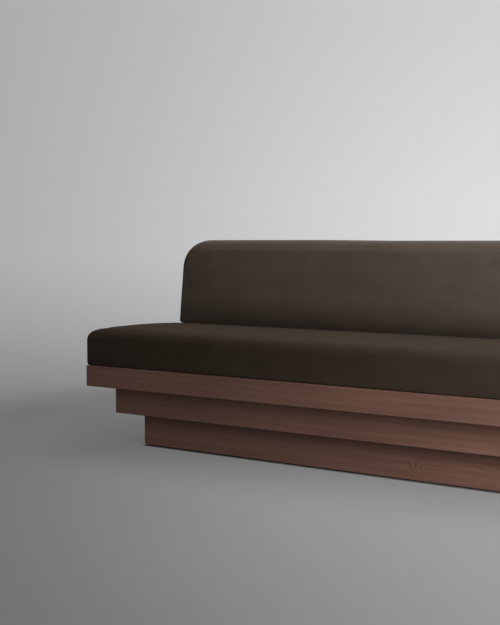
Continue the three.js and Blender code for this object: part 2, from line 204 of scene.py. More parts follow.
# %% Build the wood grain group
grain_tree, entry, leave = new_group(
    "wood_grain",
    [
        ("Vector", "NodeSocketVector", None),
        ("Ring Spacing", "NodeSocketFloat", 0.007),
        ("Waviness", "NodeSocketFloat", 0.012),
        ("Lift", "NodeSocketFloat", 0.0),
    ],
    [
        ("Figure", "NodeSocketFloat"),
        ("Streaks", "NodeSocketFloat"),
        ("Pores", "NodeSocketFloat"),
        ("Height", "NodeSocketFloat"),
    ],
)
slow = vector_calc(grain_tree, "MULTIPLY", entry["Vector"], (1.1, 6.0, 6.0))
sway = noise(grain_tree, slow, 1.0, 3.0, 0.55).outputs["Color"]
sway = vector_calc(grain_tree, "SUBTRACT", sway, (0.5, 0.5, 0.5))
sway = scaled(grain_tree, sway, entry["Waviness"])
bent = vector_calc(grain_tree, "ADD", entry["Vector"], sway)
across = vector_calc(grain_tree, "MULTIPLY", bent, (0.012, 1.0, 1.0))
ring = vector_calc(grain_tree, "LENGTH", across)
ring = calc(grain_tree, "ADD", ring, entry["Lift"])
ring = calc(grain_tree, "DIVIDE", ring, entry["Ring Spacing"])
figure = calc(grain_tree, "PINGPONG", ring, 1.0)
figure = remap(grain_tree, figure, 0.0, 1.0, smooth=True)
fine = vector_calc(grain_tree, "MULTIPLY", bent, (2.2, 75.0, 75.0))
streaks = noise(grain_tree, fine, 1.0, 4.0, 0.6).outputs[0]
streaks = remap(grain_tree, streaks, 0.3, 0.7)
hair = vector_calc(grain_tree, "MULTIPLY", bent, (34.0, 800.0, 800.0))
pores = noise(grain_tree, hair, 1.0, 2.0, 0.5).outputs[0]
pores = remap(grain_tree, pores, 0.58, 0.7)
height = calc(grain_tree, "MULTIPLY", figure, 0.35)
height = calc(grain_tree, "MULTIPLY_ADD", streaks, 0.3, height)
height = calc(grain_tree, "MULTIPLY_ADD", pores, -0.6, height)
join(grain_tree, figure, leave["Figure"])
join(grain_tree, streaks, leave["Streaks"])
join(grain_tree, pores, leave["Pores"])
join(grain_tree, height, leave["Height"])
print("wood grain group:", len(grain_tree.nodes), "nodes")


# %% [markdown]
# ## Tone drift
#
# No real surface has exactly one colour from end to end. Stain soaks in unevenly and brushed cloth
# lies a little this way and that. One small group gives a slow, soft change that every finish can
# use at its own scale.

# %% Build the tone drift group
drift_tree, entry, leave = new_group(
    "tone_drift",
    [
        ("Vector", "NodeSocketVector", None),
        ("Scale", "NodeSocketFloat", 4.0),
        ("Amount", "NodeSocketFloat", 0.1),
    ],
    [("Factor", "NodeSocketFloat")],
)
drift = noise(drift_tree, entry["Vector"], entry["Scale"], 3.0, 0.5).outputs[0]
drift = calc(drift_tree, "SUBTRACT", drift, 0.5)
drift = calc(drift_tree, "MULTIPLY", drift, entry["Amount"])
drift = calc(drift_tree, "MULTIPLY_ADD", drift, 2.0, 1.0)
join(drift_tree, drift, leave["Factor"])


# %% [markdown]
# ## Edges that catch the light
#
# Handled edges lose a little of their stain and shine more. Painting that on by hand would mean a
# map for every board. Rounding the normal with the Bevel node and comparing it with the true one
# finds every edge by itself.

# %% Build the edge wear group
wear_tree, entry, leave = new_group(
    "edge_wear",
    [("Width", "NodeSocketFloat", 0.002), ("Vector", "NodeSocketVector", None)],
    [("Mask", "NodeSocketFloat")],
)
rounded = put(wear_tree, "ShaderNodeBevel", {"Radius": entry["Width"]}, samples=4).outputs[0]
true_normal = put(wear_tree, "ShaderNodeNewGeometry").outputs["True Normal"]
same = vector_calc(wear_tree, "DOT_PRODUCT", rounded, true_normal)
mask = remap(wear_tree, same, 0.995, 0.85)
patchy = noise(wear_tree, entry["Vector"], 30.0, 3.0, 0.6).outputs[0]
mask = calc(wear_tree, "MULTIPLY", mask, remap(wear_tree, patchy, 0.35, 0.65, 0.3, 1.0))
join(wear_tree, mask, leave["Mask"])


# %% [markdown]
# ## Stained boards
#
# The plinth is a red-brown hardwood with a satin stain: long quiet lines, a few darker streaks, and
# hardly any gloss. The front and back boards have their grain along X. The end boards have it along
# Y, so their pattern is turned by a quarter. Every board is shifted by its own random number, so no
# two are cut from the same place.

# %% Make the stained wood
STAIN_DARK = tone(84, 55, 45)
STAIN_MIDDLE = tone(108, 76, 64)
STAIN_PALE = tone(128, 93, 78)
STAIN_IN_PORES = tone(52, 34, 28)
STAIN_RUBBED = tone(150, 112, 94)
PITH_PLACE = (0.0, 0.36, 0.02)
BOARD_SHIFT = (9.0, 0.11, 0.23)


def stained_wood(name, turn, lift=None):
    material, tree, shader = new_material(name)
    place = object_place(tree)
    turned = put(tree, "ShaderNodeMapping", {"Vector": place, "Rotation": (0, 0, turn)}).outputs[0]
    own = put(tree, "ShaderNodeObjectInfo").outputs["Random"]
    shift = vector_calc(tree, "ADD", scaled(tree, BOARD_SHIFT, own), PITH_PLACE)
    along = vector_calc(tree, "ADD", turned, shift)
    inputs = {"Vector": along, "Ring Spacing": 0.011, "Waviness": 0.02}
    near_knot, core = 0.0, 0.0
    if lift is not None:
        inputs["Lift"], near_knot, core = lift(tree, place)
    grain = use_group(tree, grain_tree, inputs)
    drift = use_group(tree, drift_tree, {"Vector": along, "Scale": 2.6, "Amount": 0.22})
    wear = use_group(tree, wear_tree, {"Vector": along, "Width": 0.0025})

    contrast = calc(tree, "MULTIPLY_ADD", near_knot, 0.85, 0.2)
    share = calc(tree, "MULTIPLY", calc(tree, "SUBTRACT", grain["Figure"], 0.5), contrast)
    share = calc(tree, "MULTIPLY_ADD", grain["Streaks"], 0.5, calc(tree, "ADD", share, 0.1))
    colour = mix(tree, share, STAIN_DARK, STAIN_PALE)
    colour = mix(tree, 0.45, colour, STAIN_MIDDLE)
    dark = calc(tree, "MULTIPLY_ADD", core, 0.55, calc(tree, "MULTIPLY", grain["Pores"], 0.35))
    colour = mix(tree, dark, colour, STAIN_IN_PORES)
    colour = mix(tree, 1.0, colour, drift["Factor"], "MULTIPLY")
    rubbed = calc(tree, "MULTIPLY", wear["Mask"], 0.3)
    colour = mix(tree, rubbed, colour, STAIN_RUBBED)
    join(tree, colour, shader.inputs["Base Color"])

    gloss = remap(tree, grain["Streaks"], 0.0, 1.0, 0.5, 0.62)
    gloss = calc(tree, "MULTIPLY_ADD", wear["Mask"], -0.08, gloss)
    join(tree, gloss, shader.inputs["Roughness"])
    add_bump(tree, shader, grain["Height"], 0.35, 0.4 * MM)
    return material


# %% [markdown]
# ## The knot in the bottom tier
#
# The front board of the bottom tier has a small knot, with flame-shaped grain on its left. A knot
# is the foot of a branch, and the rings swell over it. Adding a smooth hill to the ring distance
# does the same: round the top of the hill the rings close, and beside it they part and join again.
# The flame is a long ridge that starts at its left end, so its lines are nested arches that open to
# the right. A mask keeps the stronger lines to this place.

# %% Make the knot's lift
KNOT_HILLS = (
    # centre x, centre z, half length, half height, rise
    (0.054, 0.069, 0.014, 0.008, 0.045),
    (0.125, 0.064, 0.050, 0.012, 0.022),
)
KNOT_CORE = (0.054, 0.069, 0.0045, 0.0035)
KNOT_RIPPLE = 0.008
KNOT_REACH = 0.030
FLAME_START, FLAME_FULL = -0.082, -0.022
FLAME_MIDDLE, FLAME_HALF_HEIGHT, FLAME_RISE = 0.040, 0.022, 0.072
ENDLESS = 1e6
FLAME_SEEN = (-0.040, 0.042, 0.050, 0.030)


def knot_lift(tree, place):
    """The hills over the ring distance, a mask that is 1 near them, and one for the dark core."""
    ripple = noise(tree, place, 26.0, 2.0, 0.5).outputs["Color"]
    ripple = vector_calc(tree, "SUBTRACT", ripple, (0.5, 0.5, 0.5))
    place = vector_calc(tree, "ADD", place, scaled(tree, ripple, KNOT_RIPPLE))

    def hill(x, z, half_length, half_height):
        offset = vector_calc(tree, "SUBTRACT", place, (x, 0.0, z))
        offset = vector_calc(tree, "MULTIPLY", offset, (1 / half_length, 0.0, 1 / half_height))
        square = vector_calc(tree, "DOT_PRODUCT", offset, offset)
        return calc(tree, "EXPONENT", calc(tree, "MULTIPLY", square, -1.0))

    total = 0.0
    for *shape, rise in KNOT_HILLS:
        total = calc(tree, "MULTIPLY_ADD", hill(*shape), rise, total)
    near = remap(tree, total, 0.0, KNOT_REACH, smooth=True)
    near = calc(tree, "MAXIMUM", near, hill(*FLAME_SEEN))
    along = put(tree, "ShaderNodeSeparateXYZ", {0: place}).outputs["X"]
    along = remap(tree, along, FLAME_START, FLAME_FULL, 0.0, FLAME_RISE, smooth=True)
    ridge = hill(0.0, FLAME_MIDDLE, ENDLESS, FLAME_HALF_HEIGHT)
    return calc(tree, "MULTIPLY_ADD", ridge, along, total), near, hill(*KNOT_CORE)


stained_long = stained_wood("stained wood, grain along the length", 0.0)
stained_end = stained_wood("stained wood, grain along the depth", math.pi / 2)
stained_knot = stained_wood("stained wood with a knot", 0.0, knot_lift)

for tier in ("bottom", "middle", "top"):
    dress(stained_long, "stained_wood", f"{tier}_tier_front_board", f"{tier}_tier_back_board")
    dress(stained_end, "stained_wood", f"{tier}_tier_left_board", f"{tier}_tier_right_board")
dress(stained_knot, "stained_wood", "bottom_tier_front_board")
print("stained wood on 12 boards")


# %% [markdown]
# ## Timber and plywood that stay bare
#
# The parts inside are plain stock. Softwood rails show strong rings. Plywood shows a quiet face
# and, on its edges, thin plies that lie one way and then the other. Which faces are edges is found
# from the normal, and the plies are counted along the sheet's thickness, so one group serves sheets
# that lie, stand and run across.

# %% Build the ply layers group
PLY = 0.0018
ply_tree, entry, leave = new_group(
    "ply_layers",
    [("Vector", "NodeSocketVector", None), ("Through", "NodeSocketVector", (0.0, 0.0, 1.0))],
    [("Layer", "NodeSocketFloat"), ("Edge", "NodeSocketFloat")],
)
depth = vector_calc(ply_tree, "DOT_PRODUCT", entry["Vector"], entry["Through"])
layer = calc(ply_tree, "PINGPONG", calc(ply_tree, "DIVIDE", depth, PLY), 1.0)
layer = remap(ply_tree, layer, 0.35, 0.65, smooth=True)
facing = put(ply_tree, "ShaderNodeNewGeometry").outputs["Normal"]
facing = calc(ply_tree, "ABSOLUTE", vector_calc(ply_tree, "DOT_PRODUCT", facing, entry["Through"]))
edge = remap(ply_tree, facing, 0.6, 0.4)
join(ply_tree, layer, leave["Layer"])
join(ply_tree, edge, leave["Edge"])


# %% Make the bare timber
TIMBER_PALE = tone(206, 172, 126)
TIMBER_RING = tone(176, 134, 86)
TIMBER_PORE = tone(130, 92, 56)


def bare_timber(name, turn):
    material, tree, shader = new_material(name)
    place = object_place(tree)
    turned = put(tree, "ShaderNodeMapping", {"Vector": place, "Rotation": turn}).outputs[0]
    grain = use_group(tree, grain_tree, {"Vector": turned, "Ring Spacing": 0.005, "Waviness": 0.01})
    streaks = calc(tree, "MULTIPLY", grain["Streaks"], 0.3)
    share = calc(tree, "MULTIPLY_ADD", grain["Figure"], 0.6, streaks)
    colour = mix(tree, share, TIMBER_PALE, TIMBER_RING)
    colour = mix(tree, calc(tree, "MULTIPLY", grain["Pores"], 0.2), colour, TIMBER_PORE)
    join(tree, colour, shader.inputs["Base Color"])
    join(tree, remap(tree, grain["Streaks"], 0.0, 1.0, 0.72, 0.86), shader.inputs["Roughness"])
    add_bump(tree, shader, grain["Height"], 0.5, 0.4 * MM)
    return material


# %% Make the plywood
PLY_PALE = tone(200, 168, 126)
PLY_FIGURE = tone(172, 136, 94)
PLY_LONG_LAYER = tone(194, 160, 116)
PLY_CROSS_LAYER = tone(126, 90, 58)


def plywood(name, through, turn):
    material, tree, shader = new_material(name)
    place = object_place(tree)
    turned = put(tree, "ShaderNodeMapping", {"Vector": place, "Rotation": turn}).outputs[0]
    grain = use_group(tree, grain_tree, {"Vector": turned, "Ring Spacing": 0.016, "Waviness": 0.03})
    plies = use_group(tree, ply_tree, {"Vector": place, "Through": through})
    drift = use_group(tree, drift_tree, {"Vector": turned, "Scale": 5.0, "Amount": 0.1})
    streaks = calc(tree, "MULTIPLY", grain["Streaks"], 0.4)
    share = calc(tree, "MULTIPLY_ADD", grain["Figure"], 0.35, streaks)
    face = mix(tree, share, PLY_PALE, PLY_FIGURE)
    face = mix(tree, 1.0, face, drift["Factor"], "MULTIPLY")
    stripes = mix(tree, plies["Layer"], PLY_LONG_LAYER, PLY_CROSS_LAYER)
    join(tree, mix(tree, plies["Edge"], face, stripes), shader.inputs["Base Color"])
    join(tree, remap(tree, grain["Streaks"], 0.0, 1.0, 0.66, 0.8), shader.inputs["Roughness"])
    add_bump(tree, shader, grain["Height"], 0.3, 0.3 * MM)
    return material


# %% Dress the inner pieces
QUARTER = math.pi / 2
timber_long = bare_timber("bare timber, grain along the length", (0, 0, 0))
timber_upright = bare_timber("bare timber, grain upright", (0, QUARTER, 0))
ply_standing = plywood("plywood, standing across", (1, 0, 0), (0, 0, QUARTER))
ply_lying = plywood("plywood, lying", (0, 0, 1), (0, 0, 0))
ply_facing = plywood("plywood, facing front", (0, 1, 0), (0, 0, 0))

dress(timber_long, "raw_timber",
      "plinth_front_rail", "plinth_rear_rail", "back_bottom_rail", "back_top_rail")
dress(timber_upright, "raw_timber", *(f"{corner}_corner_block" for corner in (
    "front_left", "front_right", "back_left", "back_right")))
dress(ply_standing, "plywood", *(f"plinth_rib_{number}" for number in range(1, 6)))
dress(ply_standing, "plywood", *(f"back_upright_{number}" for number in range(1, 5)))
dress(ply_lying, "plywood", "seat_board")
dress(ply_lying, "plywood", *(f"{tier}_tier_{side}_soffit" for tier in ("middle", "top")
                              for side in ("front", "back", "left", "right")))
dress(ply_facing, "plywood", "back_front_panel", "back_rear_panel")
print("bare timber and plywood dressed")


# %% [markdown]
# ## Steel and plastic
#
# Bolts, tubes and nut plates are zinc-plated: a cool, slightly cloudy metal. The glides are black
# moulded plastic, a little scuffed underneath. Both need little more than a broken-up roughness to
# look handled.

# %% Make the zinc plate and the glide plastic
ZINC = tone(178, 182, 186)
ZINC_RUBBED = tone(214, 216, 218)
GLIDE_BLACK = tone(36, 35, 34)


def zinc_plate():
    material, tree, shader = new_material("zinc plate")
    place = object_place(tree)
    drift = use_group(tree, drift_tree, {"Vector": place, "Scale": 90.0, "Amount": 0.12})
    wear = use_group(tree, wear_tree, {"Vector": place, "Width": 0.0008})
    colour = mix(tree, 1.0, ZINC, drift["Factor"], "MULTIPLY")
    join(tree, mix(tree, wear["Mask"], colour, ZINC_RUBBED), shader.inputs["Base Color"])
    cloud = noise(tree, place, 260.0, 3.0, 0.6).outputs[0]
    join(tree, remap(tree, cloud, 0.3, 0.7, 0.28, 0.46), shader.inputs["Roughness"])
    shader.inputs["Metallic"].default_value = 1.0
    return material


def glide_plastic():
    material, tree, shader = new_material("glide plastic")
    place = object_place(tree)
    drift = use_group(tree, drift_tree, {"Vector": place, "Scale": 60.0, "Amount": 0.2})
    colour = mix(tree, 1.0, GLIDE_BLACK, drift["Factor"], "MULTIPLY")
    join(tree, colour, shader.inputs["Base Color"])
    scuff = noise(tree, place, 420.0, 4.0, 0.7).outputs[0]
    join(tree, remap(tree, scuff, 0.35, 0.7, 0.42, 0.7), shader.inputs["Roughness"])
    add_bump(tree, shader, scuff, 0.3, 0.2 * MM)
    return material


dress(zinc_plate(), "zinc_steel", *(f"{kind}_{number}" for kind in ("back_bolt", "spacer_tube")
                                   for number in range(1, 5)), "nut_plate_1", "nut_plate_2")
dress(glide_plastic(), "glide_plastic", *(f"glide_{number}" for number in range(1, 7)))
print("steel and plastic dressed")


# %% [markdown]
# ## The cloth
#
# The upholstery is a dark, brushed wool-like cloth. It has no visible weave and no gloss, but its
# nap scatters light at a flat angle, so the top of the back shows a pale rim. That is what the
# sheen socket is for. The nap itself is very fine noise in the bump, with soft patches where it has
# been stroked another way.
#
# The cloth's colour is made darker as painted shade: all over the seat, a little more on its sides,
# and low on the back near the seat, with a warm tint. The height on the piece sets how much, so
# each cloth is given two heights and a share for each. The seat's nap is too flat for a sheen.

# %% Make the upholstery cloth
CLOTH_DEEP = tone(64, 54, 45)
CLOTH_MIDDLE = tone(78, 67, 57)
CLOTH_PALE = tone(92, 80, 70)
# The tint of the painted shade, and no tint where no shade is painted.
PAINTED_SHADE_TINT = (1.03, 0.98, 0.90, 1)
UNSHADED_TINT = (1, 1, 1, 1)
SHEEN_TINT = (0.92, 0.95, 1.0, 1)
SHEEN_ROUGHNESS = 0.35


def brushed_cloth(name, low, high, painted_light_below, painted_light_above, gloss, sheen):
    """Cloth with painted shade by height: below the height low its colour is scaled by one share,
    above the height high by another, with a warm tint where it is darker."""
    material, tree, shader = new_material(name)
    place = object_place(tree)
    drift = use_group(tree, drift_tree, {"Vector": place, "Scale": 5.0, "Amount": 0.08})
    strokes = vector_calc(tree, "MULTIPLY", place, (14.0, 30.0, 22.0))
    strokes = noise(tree, strokes, 1.0, 3.0, 0.6).outputs[0]
    strokes = remap(tree, strokes, 0.35, 0.65)
    fibre = vector_calc(tree, "MULTIPLY", place, (900.0, 1500.0, 1500.0))
    fibre = noise(tree, fibre, 1.0, 2.0, 0.6).outputs[0]
    fibre = remap(tree, fibre, 0.3, 0.7)
    share = calc(tree, "MULTIPLY_ADD", strokes, 0.3, calc(tree, "MULTIPLY", fibre, 0.7))
    colour = mix(tree, share, CLOTH_DEEP, CLOTH_PALE)
    colour = mix(tree, 0.4, colour, CLOTH_MIDDLE)
    height_on_piece = put(tree, "ShaderNodeSeparateXYZ", {0: place}).outputs["Z"]
    # Painted shade: the colour is made darker by the height on the piece, with a warm tint, for the
    # shade on the seat's sides and at the foot of the back.
    painted_light_share = remap(tree, height_on_piece, low, high, painted_light_below, painted_light_above, smooth=True)
    tint = mix(tree, painted_light_share, PAINTED_SHADE_TINT, UNSHADED_TINT)
    painted_shade_and_drift = calc(tree, "MULTIPLY", painted_light_share, drift["Factor"])
    colour = mix(tree, 1.0, colour, tint, "MULTIPLY")
    join(tree, mix(tree, 1.0, colour, painted_shade_and_drift, "MULTIPLY"), shader.inputs["Base Color"])
    join(tree, remap(tree, fibre, 0.0, 1.0, 0.82, 0.95), shader.inputs["Roughness"])
    height = calc(tree, "MULTIPLY_ADD", strokes, 0.4, fibre)
    add_bump(tree, shader, height, 0.35, 0.4 * MM)
    shader.inputs["Specular IOR Level"].default_value = gloss
    shader.inputs["Sheen Weight"].default_value = sheen
    shader.inputs["Sheen Roughness"].default_value = SHEEN_ROUGHNESS
    shader.inputs["Sheen Tint"].default_value = SHEEN_TINT
    return material


# Painted shade: the seat is darker than the back all over and more on its sides, and the back is
# darker low down near the seat.
seat_cloth = brushed_cloth("brushed cloth of the seat", 0.37, 0.404, 0.47, 0.52, 0.05, 0.0)
back_cloth = brushed_cloth("brushed cloth of the back", 0.40, 0.52, 0.50, 0.96, 0.15, 0.26)
print("cloths:", seat_cloth.name, "and", back_cloth.name)


# %% [markdown]
# ## How the padded pieces are made
#
# Both are foam under tight cloth. They could be lofted ring by ring, or sculpted. Here each starts
# as a block that is cut into small squares, closer together near its edges. Its points are then
# moved on to the tailored form: the outline gets its round corners, and the edges of the two big
# faces get their own radius. Crown, recline and drawn-in sides follow. Last, a cloth simulation
# blows the form up, and the pressure fills the faces the way stuffing does. A limit on how far any
# point may move keeps the piece to its real size.

# %% Define blocks and the modifiers' result
def block(low, high):
    shape = bmesh.new()
    bmesh.ops.create_cube(shape, size=1)
    bmesh.ops.scale(shape, vec=high - low, verts=shape.verts)
    bmesh.ops.translate(shape, vec=(low + high) / 2, verts=shape.verts)
    return shape


def to_object(name, shape):
    bmesh.ops.recalc_face_normals(shape, faces=shape.faces)
    data = bpy.data.meshes.new(name)
    shape.to_mesh(data)
    shape.free()
    made = bpy.data.objects.new(name, data)
    bpy.context.scene.collection.objects.link(made)
    return made


def apply_modifiers(piece):
    graph = bpy.context.evaluated_depsgraph_get()
    done = bpy.data.meshes.new_from_object(piece.evaluated_get(graph))
    piece.modifiers.clear()
    old = piece.data
    piece.data = done
    bpy.data.meshes.remove(old)
    return piece


def points_of(mesh):
    points = np.empty(len(mesh.vertices) * 3, np.float64)
    mesh.vertices.foreach_get("co", points)
    return points.reshape(-1, 3)


def set_points(mesh, points):
    mesh.vertices.foreach_set("co", points.astype(np.float32).ravel())
    mesh.update()


# %% Define the block of squares
def marks(length, near_low, near_high, square):
    """Where a side is cut: at distances in millimetres from its ends, and evenly between them."""
    low = np.array(near_low) * MM
    high = length - np.array(near_high[::-1]) * MM
    count = round((high[0] - low[-1]) / square)
    return np.concatenate((low, np.linspace(low[-1], high[0], count + 1)[1:-1], high))


def block_of_squares(low, cuts):
    """A block from its lowest corner, cut at the given marks along each axis."""
    shape = bmesh.new()
    bmesh.ops.create_cube(shape, size=1)
    for axis, places in enumerate(cuts):
        along = [edge for edge in shape.edges
                 if abs(edge.verts[0].co[axis] - edge.verts[1].co[axis]) > 0.5]
        bmesh.ops.subdivide_edges(shape, edges=along, cuts=len(places) - 2, use_grid_fill=True)
    for vert in shape.verts:
        steps = [round((part + 0.5) * (len(places) - 1)) for part, places in zip(vert.co, cuts)]
        vert.co = low + Vector(places[step] for places, step in zip(cuts, steps))
    return shape


# %% Define the tailoring of edges and corners
def round_edge(inset, depth, radius):
    """Moves points on two faces that meet at an edge on to a quarter round, by their distance from
    each face."""
    near = (inset < radius) & (depth < radius)
    length = np.where(near, np.hypot(radius - inset, radius - depth), 1)
    rounded_inset = radius - radius * (radius - inset) / length
    rounded_depth = radius - radius * (radius - depth) / length
    return np.where(near, rounded_inset, inset), np.where(near, rounded_depth, depth)


def round_corner(u, v, half, old, new, reach, radius):
    """Moves points of an outline in the plane of u and v from one inset to another, and rounds its
    corners. The corner's squares are spread round a quarter turn. reach is how far from the corner
    they start."""
    side_u, side_v = np.sign(u), np.sign(v)
    u, v = abs(u), abs(v)
    on_u = half[0] - u < half[1] - v
    flat_u = np.where(on_u, u + old - new, u)
    flat_v = np.where(on_u, v, v + old - new)
    out = np.stack((u - (half[0] - reach), v - (half[1] - reach)))
    corner = (out > 0).all(axis=0)
    share = out / np.maximum(out.max(axis=0), 1e-6)
    round_share = np.clip(radius / np.maximum(reach - new, 1e-6), 0, 1)
    inner = np.minimum(share, 1 - round_share)
    turn = share - inner
    turn /= np.maximum(np.hypot(*turn), 1e-6)
    placed = (reach - new) * (inner + round_share * turn)
    u = np.where(corner, half[0] - reach + placed[0], flat_u)
    v = np.where(corner, half[1] - reach + placed[1], flat_v)
    return side_u * u, side_v * v


# %% Define the swelling
SWELL_FRAMES = 20
SWELL_PRESSURE = 4.0
SWELL_QUALITY = 5
SHRINK = 1 * MM
SINK_LIMIT = 0.8 * MM


def soft_limit(distance, limit):
    """Close to distance while that is small, and never more than limit."""
    return limit * np.tanh(distance / limit)


def swell(piece, held, inset, limit):
    """Shrinks a form by inset and blows it up as cloth. No point moves out by more than limit,
    which is one number or one for each point, or in by more than the sink limit."""
    mesh = piece.data
    tailored = points_of(mesh)
    normals = np.empty(len(mesh.vertices) * 3, np.float32)
    mesh.vertices.foreach_get("normal", normals)
    normals = normals.reshape(-1, 3)
    hold = np.clip(held(tailored), 0, 1)
    start = tailored - normals * (inset * (1 - hold))[:, None]
    set_points(mesh, start)
    group = piece.vertex_groups.new(name="held")
    for index, weight in enumerate(hold):
        if weight > 0:
            group.add([index], float(weight), "REPLACE")
    modifier = piece.modifiers.new("Padding", "CLOTH")
    settings = modifier.settings
    settings.quality = SWELL_QUALITY
    settings.use_pressure = True
    settings.uniform_pressure_force = SWELL_PRESSURE
    settings.effector_weights.gravity = 0
    settings.vertex_group_mass = "held"
    modifier.collision_settings.use_collision = False
    modifier.point_cache.frame_start = 1
    modifier.point_cache.frame_end = SWELL_FRAMES
    for number in range(1, SWELL_FRAMES + 1):
        bpy.context.scene.frame_set(number)
    graph = bpy.context.evaluated_depsgraph_get()
    blown = points_of(piece.evaluated_get(graph).data)
    piece.modifiers.remove(modifier)
    piece.vertex_groups.clear()
    bpy.context.scene.frame_set(1)
    move = blown - start
    outward = (move * normals).sum(axis=1)
    sideways = move - normals * outward[:, None]
    outward = np.where(outward > 0, soft_limit(outward, limit), soft_limit(outward, SINK_LIMIT))
    length = np.linalg.norm(sideways, axis=1)
    sideways *= (soft_limit(length, SINK_LIMIT) / np.maximum(length, 1e-9))[:, None]
    set_points(mesh, start + sideways + normals * outward[:, None])
    least, most = round(outward.min() / MM, 1), round(outward.max() / MM, 1)
    print(piece.name, "moved", least, "to", most, "mm outward")


# %% Define the finish of a padded piece
SHARP = math.radians(50)


def finish_padding(piece, cloth, cutters):
    """One subdivision, then the room for what is inside is cut out of the underside."""
    smooth = piece.modifiers.new("Smooth", "SUBSURF")
    smooth.levels = smooth.render_levels = 1
    apply_modifiers(piece)
    for cutter in cutters:
        hollow = piece.modifiers.new("Hollow", "BOOLEAN")
        hollow.operation = "DIFFERENCE"
        hollow.solver = "EXACT"
        hollow.object = cutter
    apply_modifiers(piece)
    for cutter in cutters:
        bpy.data.objects.remove(cutter)
    for polygon in piece.data.polygons:
        polygon.use_smooth = True
    piece.data.set_sharp_from_angle(angle=SHARP)
    piece.data.materials.clear()
    piece.data.materials.append(cloth)
    points = points_of(piece.data)
    faces = sum(len(polygon.vertices) - 2 for polygon in piece.data.polygons)
    low, high = points.min(axis=0).round(4), points.max(axis=0).round(4)
    print(piece.name, "has", faces, "triangles, from", low, "to", high)


# %% [markdown]
# ## The seat
#
# The seat is as long and as deep as the plinth. Its upper edge is softly rounded, its lower edge is
# pulled tight over the seat board, and its corners are nearly square in plan. It is thickest in
# front, crowns a little between its ends, and slopes down to where the back stands on it.

# %% Tailor the seat
SEAT_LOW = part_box("seat_cover")[0]
SEAT_LEVEL = 399.2 * MM
SEAT_TOP_RADIUS = 32 * MM
SEAT_UNDER_RADIUS = 7 * MM
SEAT_CORNER_RADIUS = 8 * MM
SEAT_CORNER_REACH = 41 * MM
SEAT_SQUARE = 14 * MM
SEAT_CROWN = 14 * MM
SEAT_CROWN_AT_ENDS = 11 * MM
SEAT_CROWN_REACH = 200 * MM
SEAT_FALL_START = -240 * MM
SEAT_FALL_END = 100 * MM
SEAT_PADDING_BOTTOM = 307.8 * MM
SEAT_DRAW_IN = 2 * MM
SEAT_HALF = Vector((1.2, 0.39))
SEAT_SWELL = 3.5 * MM
SEAT_NEAR_SIDES = (0, 2.5, 4.5, 7, 12, 18.5, 25.5, 32, 41)
SEAT_NEAR_BASE = (0, 2.5, 4.5, 7)
SEAT_NEAR_TOP = (0, 10.6, 18.7, 25.6, 32)


def seat_block():
    cuts = [marks(2 * half, SEAT_NEAR_SIDES, SEAT_NEAR_SIDES, SEAT_SQUARE) for half in SEAT_HALF]
    cuts.append(marks(SEAT_LEVEL - SEAT_LOW.z, SEAT_NEAR_BASE, SEAT_NEAR_TOP, SEAT_SQUARE))
    return block_of_squares(Vector((-SEAT_HALF.x, -SEAT_HALF.y, SEAT_LOW.z)), cuts)


def tailor_seat(points):
    x, y, z = points.T
    inset = np.minimum(SEAT_HALF.x - abs(x), SEAT_HALF.y - abs(y))
    upper = z > (SEAT_LOW.z + SEAT_LEVEL) / 2
    radius = np.where(upper, SEAT_TOP_RADIUS, SEAT_UNDER_RADIUS)
    depth = np.where(upper, SEAT_LEVEL - z, z - SEAT_LOW.z)
    new_inset, new_depth = round_edge(inset, depth, radius)
    z = np.where(upper, SEAT_LEVEL - new_depth, SEAT_LOW.z + new_depth)
    corner_radius = SEAT_CORNER_RADIUS + new_inset / 2
    x, y = round_corner(x, y, SEAT_HALF, inset, new_inset, SEAT_CORNER_REACH, corner_radius)

    lift = np.clip((z - SEAT_LEVEL) / SEAT_TOP_RADIUS + 1, 0, 1)
    fallen = np.clip((y - SEAT_FALL_START) / (SEAT_FALL_END - SEAT_FALL_START), 0, 1)
    along = np.clip((SEAT_HALF.x - abs(x)) / SEAT_CROWN_REACH, 0, 1)
    crown = SEAT_CROWN_AT_ENDS + (SEAT_CROWN - SEAT_CROWN_AT_ENDS) * np.sin(QUARTER * along)
    padded = np.clip((z - SEAT_PADDING_BOTTOM) / (SEAT_LEVEL - SEAT_PADDING_BOTTOM), 0, 1)
    y = y - SEAT_DRAW_IN * (1 - (x / SEAT_HALF.x) ** 2) * (1 - lift) * y / SEAT_HALF.y
    return np.column_stack((x, y, z + crown * np.cos(QUARTER * fallen) * padded))


# %% Say where the seat's cloth is held
HELD_FADE = 8 * MM
SEAT_HELD_BASE = 12 * MM
UNDER_BACK_START = 80 * MM
UNDER_BACK_FADE = 40 * MM
UNDER_BACK_DEPTH = 20 * MM
CORNER_HOLD = 1.3
CORNER_FADE = 30 * MM


def seat_held(points):
    """1 where the cloth stays put: round the stapled base, under the back and at the corners."""
    x, y, z = points.T
    base = (SEAT_LOW.z + SEAT_HELD_BASE - z) / HELD_FADE
    under_back = np.clip((y - UNDER_BACK_START) / UNDER_BACK_FADE, 0, 1)
    under_back = under_back * (z > SEAT_LEVEL - UNDER_BACK_DEPTH)
    to_corner = np.maximum(SEAT_HALF.x - abs(x), SEAT_HALF.y - abs(y))
    return np.maximum(np.maximum(base, under_back), CORNER_HOLD - to_corner / CORNER_FADE)


seat = to_object("seat_cushion", seat_block())
set_points(seat.data, tailor_seat(points_of(seat.data)))
print("seat starts with", len(seat.data.vertices), "points")


# %% Swell the seat and cut the room for its board
CLEAR = 0.4 * MM
STAPLED = 20 * MM
CUT_BELOW = 10 * MM
TUBE_HOLE_MIDDLE = SEAT_LEVEL - 40 * MM
TUBE_HOLE_LENGTH = 160 * MM


def room_for(names, clear):
    """A box round CAD nodes, a little larger than they are."""
    boxes = [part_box(name) for name in names]
    low = Vector(min(box[0][axis] for box in boxes) - clear for axis in range(3))
    high = Vector(max(box[1][axis] for box in boxes) + clear for axis in range(3))
    return low, high


